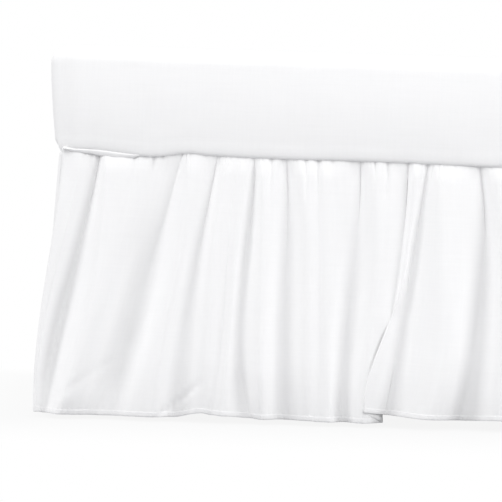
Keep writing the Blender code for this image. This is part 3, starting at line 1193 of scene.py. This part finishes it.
@dataclass
class FittedMattress:
    """The foam mattress in its fitted sheet: drawn in at the foot, with a soft crown and a wavy lower edge.

    Sizes are in metres. The feet are in millimetres: how far in from the outline and how high the sheet
    is, from the underside up round the turn, along the long sides and at the ends. seam is the skirt's
    distance from the middle. The back's lower edge is the front's, mirrored and drawn in by that share.
    """

    low: Vector
    high: Vector
    seam: float
    bulge: float = 0.007
    corner: float = 0.042
    swell: float = 0.0012
    end_power: float = 1.4
    side_power: float = 2.0
    side_from: float = 0.3
    side_over: float = 0.6
    bottom_turn: float = 0.016
    side_foot: Profile = (
        (30.0, 0.0), (18.0, 0.0), (15.0, 0.0), (13.2, -0.4), (11.8, -1.4), (10.6, -2.7), (9.4, -3.2),
        (7.9, -2.7), (6.5, -1.3), (5.4, 1.2), (4.6, 5.0), (4.0, 10.0), (3.6, 16.0),
    )
    end_foot: Profile = (
        (34.0, 0.0), (31.0, 0.1), (28.5, 0.5), (26.0, 1.1), (23.5, 1.9), (21.0, 2.9), (18.8, 4.0),
        (16.8, 5.4), (15.0, 7.0), (13.2, 8.9), (11.6, 11.0), (10.2, 13.4), (9.0, 16.0),
    )
    top_turn: float = 0.022
    crown: float = 0.003
    wave_from: float = 0.004
    wave_fade: float = 0.04
    sinks_from: float = 0.0068
    sinks_over: float = 0.002
    mirrored: float = 0.97
    broad_wave: float = 0.21
    broad_slant: tuple[float, float] = (2.0, -3.0)
    broad_depth: float = 0.0022
    broad_seed: float = 3.0
    fold_pitch: float = 0.05
    fold_length: float = 0.16
    fold_depth: float = 0.0007
    fold_foot: float = 0.02
    fold_seed: float = 9.0
    fade: float = 0.03
    pitch: float = 0.0055
    corner_steps: int = 12
    side_steps: int = 26
    turn_steps: int = 9
    spine_steps: int = 22

    def profile(self, points: Profile, power: float, swell: float) -> Grid:
        """Inset and height of each ring up the side, from the underside's edge to the top's edge.

        Args:
            points: the turn at the foot, in millimetres.
            power: how early the wall above it comes out to the full width.
            swell: how far the middle of the wall bulges.

        Returns:
            One row for each ring, in metres.
        """
        thick = self.high.z - self.low.z
        turn = np.linspace(0, QUARTER, self.turn_steps)
        places = np.linspace(0, len(points) - 1, 3 * len(points))
        columns = [np.interp(places, range(len(points)), column) * MM for column in np.array(points).T]
        foot = np.stack(columns, axis=1)
        levels = np.linspace(0, 1, self.side_steps + 2)[1:-1]
        widest = thick - self.top_turn
        side = np.stack([foot[-1, 0] * (1 - levels) ** power - swell * np.sin(levels * math.pi),
                         self.bottom_turn + (widest - self.bottom_turn) * levels], axis=1)
        head = np.stack([self.top_turn * (1 - np.cos(turn)),
                         widest + (thick - widest) * np.sin(turn)], axis=1)
        return np.concatenate([foot, side, head])

    def outline(self) -> tuple[Grid, Grid]:
        """The plan's outline and its outward directions, anticlockwise from above.

        Returns:
            Points and unit directions, one row each.
        """
        half = np.array([self.high.x - self.low.x, self.high.y - self.low.y]) / 2
        reach = half + np.array([self.bulge, 0.0]) - self.corner
        signs = [(1, 1), (-1, 1), (-1, -1), (1, -1)]
        points, outs = [], []
        for quarter, sign in enumerate(signs):
            angles = (quarter + np.arange(self.corner_steps + 1) / self.corner_steps) * QUARTER
            out = np.stack([np.cos(angles), np.sin(angles)], axis=1)
            corner = reach * np.array(sign)
            points.append(corner + out * self.corner)
            outs.append(out)
            following = reach * np.array(signs[(quarter + 1) % 4])
            steps = round(np.linalg.norm(following - corner) / self.pitch)
            share = (np.arange(1, steps) / steps)[:, None]
            last = out[-1]
            points.append(corner + (following - corner) * share + last * self.corner)
            outs.append(np.repeat(last[None], steps - 1, axis=0))
        return np.concatenate(points), np.concatenate(outs)

    def rings(self) -> Grid:
        """Every ring of points, from the middle of the underside round to the middle of the top."""
        plan, outs = self.outline()
        half = np.abs(plan).max(axis=0)
        spine_half = half[0] - half[1]
        spine = np.stack([np.clip(plan[:, 0], -spine_half, spine_half), plan[:, 1] * 0], axis=1)
        along_side = smooth((np.abs(outs[:, 1:]) - self.side_from) / self.side_over)
        at_ends = self.profile(self.end_foot, self.end_power, 0.0)
        at_sides = self.profile(self.side_foot, self.side_power, self.swell)
        inner = np.linspace(0, 1, self.spine_steps + 1)[:-1]
        level = np.ones((len(plan), 1))
        foot_edge = plan - outs * at_ends[0, 0]
        head_edge = plan - outs * at_ends[-1, 0]
        rings = [np.hstack([spine + (foot_edge - spine) * share, level * self.low.z]) for share in inner]
        for at_end, at_side in zip(at_ends, at_sides):
            inset, height = np.split(at_end + (at_side - at_end) * along_side, 2, axis=1)
            rings.append(np.hstack([plan - outs * inset, self.low.z + height]))
        for share in inner[::-1]:
            rise = self.crown * (1 - share ** 2)
            rings.append(np.hstack([spine + (head_edge - spine) * share, level * (self.high.z + rise)]))
        return np.stack(rings)

    def relaxed(self, rings: Grid) -> Grid:
        """Lets the sheet sink over the skirt's heading and rise off it along the front and back edges.

        Args:
            rings: the rings of points.

        Returns:
            The rings with a wavy lower edge.
        """
        x, y, z = np.moveaxis(rings, 2, 0)
        rise = eased_between(LOWER_EDGE, np.where(y < 0, x, -x * self.mirrored)) - RESTING
        overhang = np.abs(y) - self.seam
        height = z - self.low.z
        fade = 1 - smooth((height - self.wave_from) / self.wave_fade)
        sunk = np.minimum(0.0, rise) * smooth((overhang - self.sinks_from) / self.sinks_over) * fade
        lifted = np.maximum(0.0, rise) * lifted_share(overhang) * fade
        return np.stack([x, y - sunk * np.sign(y) / 2, z + sunk + lifted], axis=2)

    def wrinkled(self, rings: Grid) -> Grid:
        """Adds the soft unevenness of a sheet drawn over foam."""
        turned = np.roll(rings, -1, axis=1) - np.roll(rings, 1, axis=1)
        climb = np.gradient(rings, axis=0)
        normals = np.cross(turned, climb)
        normals /= np.maximum(np.linalg.norm(normals, axis=2, keepdims=True), 1e-12)
        x, y, z = np.moveaxis(rings, 2, 0)
        wave, slant = self.broad_wave, self.broad_slant
        broad = noise_at(x / wave + z * slant[0], y / wave + z * slant[1], self.broad_seed)
        drawn = noise_at(x / self.fold_pitch + y / self.fold_pitch, z / self.fold_length, self.fold_seed)
        above = z - self.low.z
        side = smooth(above / self.fold_foot) * (1 - smooth((z - self.high.z + self.fade) / self.fade))
        push = broad * self.broad_depth * smooth(above / self.fade) + drawn * self.fold_depth * side
        return rings + normals * push[..., None]

    def build(self, finish: Material) -> list[Piece]:
        """Builds the mattress.

        Args:
            finish: the material of the fitted sheet.

        Returns:
            The one piece.
        """
        rings = self.wrinkled(self.relaxed(self.rings()))
        count, around = rings.shape[:2]
        numbers = np.arange(count * around).reshape(count, around)
        turned = np.roll(numbers, -1, axis=1)
        faces = quads(numbers[:-1], turned[:-1], turned[1:], numbers[1:])
        plan = rings[self.spine_steps + 3 * len(self.side_foot)]
        walk = np.cumsum(np.linalg.norm(np.roll(plan, -1, axis=0) - plan, axis=1))
        climb = np.linalg.norm(np.diff(rings, axis=0), axis=2).mean(axis=1)
        flat = np.stack(np.meshgrid(walk, np.insert(np.cumsum(climb), 0, 0.0)), axis=-1)
        points = rings.reshape(-1, 3)
        mattress = mesh_piece("mattress_in_sheet", points, faces.tolist(), finish, flat.reshape(-1, 2))
        self.close(mattress)
        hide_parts("mattress")
        return [mattress]

    def close(self, mattress: Piece) -> None:
        """Merges the points that meet along the middle of the top and of the underside."""
        bpy.ops.object.select_all(action="DESELECT")
        bpy.context.view_layer.objects.active = mattress
        mattress.select_set(True)
        bpy.ops.object.mode_set(mode="EDIT")
        bpy.ops.mesh.select_all(action="SELECT")
        bpy.ops.mesh.remove_doubles(threshold=1e-5)
        bpy.ops.mesh.dissolve_degenerate(threshold=1e-6)
        bpy.ops.object.mode_set(mode="OBJECT")
        mattress.select_set(False)


@dataclass
class SlackEdge:
    """The sliver of the fitted sheet's slack edge that shows below the mattress at the front left corner.

    It starts in the wedge between the mattress and the deck, bends over the skirt's heading and hangs a
    few millimetres. Each place has its distance outward from the seam and its height above the mattress's
    underside, in metres, and the share of the hanging part that lies above it.
    """

    seam: float
    underside: float
    cloth: float = 0.0007
    places: tuple[tuple[float, float, float], ...] = (
        (-0.0005, 0.0006, 0.0), (0.0030, 0.0008, 0.0), (0.0062, 0.0004, 0.0), (0.0085, -0.0012, 0.0),
        (0.0100, -0.0018, 0.08), (0.0104, -0.0022, 0.25), (0.0097, -0.0022, 0.62), (0.0084, -0.0022, 1.0),
    )
    line: tuple[EdgePoint, ...] = (
        EdgePoint(-0.644, 0.3548), EdgePoint(-0.629, 0.3512), EdgePoint(-0.612, 0.3496),
        EdgePoint(-0.590, 0.3469), EdgePoint(-0.570, 0.3450), EdgePoint(-0.552, 0.3455),
        EdgePoint(-0.5435, 0.3480),
    )
    width: float = 0.014
    least_hang: float = 0.0006
    steps: int = 90
    rows: int = 22

    def build(self, finish: Material) -> list[Piece]:
        """Builds the strip.

        Args:
            finish: the material of the fitted sheet.

        Returns:
            The one piece.
        """
        x = np.linspace(self.line[0].x, self.line[-1].x, self.steps)
        low = eased_between(self.line, x)
        lifted = np.maximum(0.0, eased_between(LOWER_EDGE, x) - RESTING)
        share = np.linspace(0, len(self.places) - 1, self.rows)
        columns = np.array(self.places).T
        out, rise, hung = (np.interp(share, range(len(self.places)), column) for column in columns)
        top = self.underside + rise[:, None] + lifted[None, :] * lifted_share(out)[:, None]
        points = np.empty((self.rows, self.steps, 3))
        points[..., 0] = x[None, :]
        points[..., 1] = -self.seam - out[:, None]
        points[..., 2] = top - np.maximum(top - low[None, :], self.least_hang) * hung[:, None]
        flat = np.stack(np.meshgrid(x, share / share[-1] * self.width), axis=-1)
        half = np.full((self.rows, self.steps), self.cloth / 2)
        strip = sheet_piece("sheet_slack_edge", points, half, flat, finish)
        return [strip]


# The base


@dataclass
class SlattedBase:
    """The plain pine base: its solids stay, and each board's grain runs along it."""

    boards: dict[Lengthwise, list[str]]

    def dress(self) -> None:
        """Gives each board the pine that runs along it."""
        for grain, names in self.boards.items():
            pine = PlanedPine(grain).material()
            for name in names:
                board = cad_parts[name]
                board.data.materials.clear()
                board.data.materials.append(pine)
            LOG.info("pine %s: %s", grain.name.lower(), ", ".join(names))


# The studio


class SoftLight(NamedTuple):
    """A large square light: its place, its aim and its side in metres, and its power in watts."""

    name: str
    place: tuple[float, float, float]
    aim: tuple[float, float, float]
    size: float
    power: float


WHITE = (1.0, 1.0, 1.0, 1.0)
LIGHTS = (
    SoftLight("left key", (-8.0, -3.2, 2.6), (-0.3, -0.3, 0.25), 2.6, 170),
    SoftLight("right key", (3.0, -1.6, 1.5), (-0.2, -0.3, 0.3), 1.4, 45),
    SoftLight("front softbox", (-0.4, -1.7, 2.0), (-0.4, -0.35, 0.25), 1.2, 11),
)


@dataclass
class Studio:
    """A pale floor, soft lights and a level camera at the photograph's framing.

    floor_fade is the stretch, in metres out from the bed's outline, over which the floor pales from
    floor_white, a share of the backdrop's white, to all of it.
    """

    frame_width: float = 0.6562
    aim: tuple[float, float, float] = (-0.3924, -0.370, 0.2276)
    distance: float = 2.6
    roll_degrees: float = 1.8
    sensor_mm: float = 36.0
    dome_colour: str = "F4F4F5"
    dome_strength: float = 1.0
    floor_colour: str = "B0B0B2"
    floor_reach: float = 40.0
    floor_fade: tuple[float, float] = (-0.1, 0.35)
    floor_white: float = 0.9

    def camera(self) -> None:
        """A level camera that looks along +Y, rolled by the photograph's tilt."""
        data = bpy.data.cameras.new("camera")
        data.sensor_width = self.sensor_mm
        data.lens = self.sensor_mm * self.distance / self.frame_width
        camera = bpy.data.objects.new("camera", data)
        x, y, z = self.aim
        upright = Matrix.Rotation(QUARTER, 4, "X")
        roll = Matrix.Rotation(math.radians(self.roll_degrees), 4, "Z")
        camera.matrix_world = Matrix.Translation((x, y - self.distance, z)) @ upright @ roll
        bpy.context.scene.collection.objects.link(camera)
        bpy.context.scene.camera = camera

    def lights(self) -> None:
        """Two grazing keys that rake across the folds from both sides, and a softbox in front and above."""
        for soft in LIGHTS:
            data = bpy.data.lights.new(soft.name, "AREA")
            data.size = soft.size
            data.energy = soft.power
            light = bpy.data.objects.new(soft.name, data)
            light.location = soft.place
            facing = Vector(soft.aim) - Vector(soft.place)
            light.rotation_euler = facing.to_track_quat("-Z", "Y").to_euler()
            bpy.context.scene.collection.objects.link(light)

    def world(self) -> None:
        """A dome of soft pale light, which the camera sees as plain white."""
        world = bpy.data.worlds.new("studio dome")
        bpy.context.scene.world = world
        world.use_nodes = True
        tree = world.node_tree
        tree.nodes.clear()
        light = {"Color": linear(self.dome_colour), "Strength": self.dome_strength}
        dome = add_node(tree, "Background", "Background", light)
        backdrop = add_node(tree, "Background", "Background", {"Color": WHITE, "Strength": 1.0})
        ray = add_node(tree, "LightPath", "Is Camera Ray")
        seen = add_node(tree, "MixShader", "Shader", {0: ray, 1: dome, 2: backdrop})
        tree.links.new(seen, tree.nodes.new("ShaderNodeOutputWorld").inputs["Surface"])
        bpy.context.scene.view_settings.view_transform = "Standard"

    def floor(self) -> None:
        """A wide pale floor that pales to the backdrop's white away from the bed."""
        material, shader = start_material("matt studio floor", {
            "Base Color": linear(self.floor_colour),
            "Roughness": 0.9,
            "Specular IOR Level": 0.1,
        })
        tree = material.node_tree
        places = add_node(tree, "TexCoord", "Object")
        beyond = []
        for axis, reach in (("X", CAD_BOX[1].x), ("Y", CAD_BOX[1].y)):
            place = add_node(tree, "SeparateXYZ", axis, {"Vector": places})
            away = add_node(tree, "Math", "Value", {0: place}, operation="ABSOLUTE")
            beyond.append(add_node(tree, "Math", "Value", {0: away, 1: reach}, operation="SUBTRACT"))
        far = add_node(tree, "Math", "Value", {0: beyond[0], 1: beyond[1]}, operation="MAXIMUM")
        fade = add_node(tree, "MapRange", "Result", {
            "Value": far,
            "From Min": self.floor_fade[0],
            "From Max": self.floor_fade[1],
            "To Min": self.floor_white,
        }, interpolation_type="SMOOTHSTEP")
        ray = add_node(tree, "LightPath", "Is Camera Ray")
        share = add_node(tree, "Math", "Value", {0: fade, 1: ray}, operation="MULTIPLY")
        white = add_node(tree, "Emission", "Emission", {"Color": WHITE, "Strength": 1.0})
        both = add_node(tree, "MixShader", "Shader", {0: share, 1: shader.outputs["BSDF"], 2: white})
        tree.links.new(both, tree.nodes["Material Output"].inputs["Surface"])
        half = self.floor_reach
        points = np.array([(-half, -half, 0), (half, -half, 0), (half, half, 0), (-half, half, 0)])
        mesh_piece("studio_floor", points, [[0, 1, 2, 3]], material)

    def build(self) -> None:
        """Builds the whole studio."""
        self.camera()
        self.lights()
        self.world()
        self.floor()


def finish_piece(pieces: list[Piece]) -> None:
    """Ties finished pieces to the bed's one body.

    Args:
        pieces: the pieces.
    """
    for piece in pieces:
        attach(piece, BODY)
        LOG.info("%s: %d faces", piece.name, len(piece.data.polygons))


def main() -> None:
    """Builds the studio, the base, the deck, the four panels and the mattress, in that order."""
    logging.basicConfig(level=logging.INFO, format="%(message)s")
    Studio().build()
    slats = [f"slat_{number}" for number in range(1, 10)]
    SlattedBase({
        Lengthwise.ALONG_X: ["front_rail", "back_rail"],
        Lengthwise.ALONG_Y: ["left_rail", "right_rail", *slats],
        Lengthwise.ALONG_Z: [f"leg_{number}" for number in range(1, 5)],
    }).dress()

    percale = WovenCotton("white cotton percale", "F2F2F2", "F0F0F0").material()
    plain = WovenCotton("plain deck cotton", "EFEFF1", "E8E8EB", pitch_mm=1.4).material()
    sheeting = WovenCotton("white fitted sheeting", "F2F2F2", "F0F0F0", crumple_depth_mm=0.2).material()
    thread = SewingThread().material()

    deck_low, deck_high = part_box("deck")
    middle = (deck_low.z + deck_high.z) / 2
    spans = [(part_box(slat)[0].x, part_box(slat)[1].x) for slat in slats]
    deck = DeckSheet(deck_high.x * 2, deck_high.y * 2, middle, spans)
    finish_piece(deck.build(plain))

    end_length = 2 * (deck_high.y - END_INSET)
    long_length = 2 * deck_high.x
    pinched = [Crease(PHOTOGRAPHED_FOLDS[pinch.fold][:4], *pinch[1:]) for pinch in PINCHES]
    along_side = (long_length, deck_high.y, middle)
    along_end = (end_length, deck_high.x, middle)
    front = front_folds(long_length / MM, seed=4)
    right = hidden_folds(end_length / MM, SHORT_SWING, seed=21)
    back = hidden_folds(long_length / MM, LONG_SWING, seed=12)
    left = hidden_folds(end_length / MM, SHORT_SWING, seed=33)
    left_corner = CornerEdge(CORNER_GAP, recess=(0.003, 0.016))
    panels = (
        GatheredPanel(Side.FRONT, front, *along_side, seed=1, creases=[*CREASES, *pinched],
                      hollows=HOLLOWS, fine_until=0.62, body_rows=60, raised=True),
        GatheredPanel(Side.RIGHT, right, *along_end, seed=2, corner=CornerEdge(CORNER_GAP)),
        GatheredPanel(Side.BACK, back, *along_side, seed=3),
        GatheredPanel(Side.LEFT, left, *along_end, seed=4, corner=left_corner),
    )
    for panel in panels:
        finish_piece(panel.build(percale, thread))

    mattress = FittedMattress(*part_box("mattress"), deck_high.y)
    finish_piece(mattress.build(sheeting))
    slack = SlackEdge(deck_high.y, mattress.low.z)
    finish_piece(slack.build(sheeting))


if __name__ == "__main__":
    main()
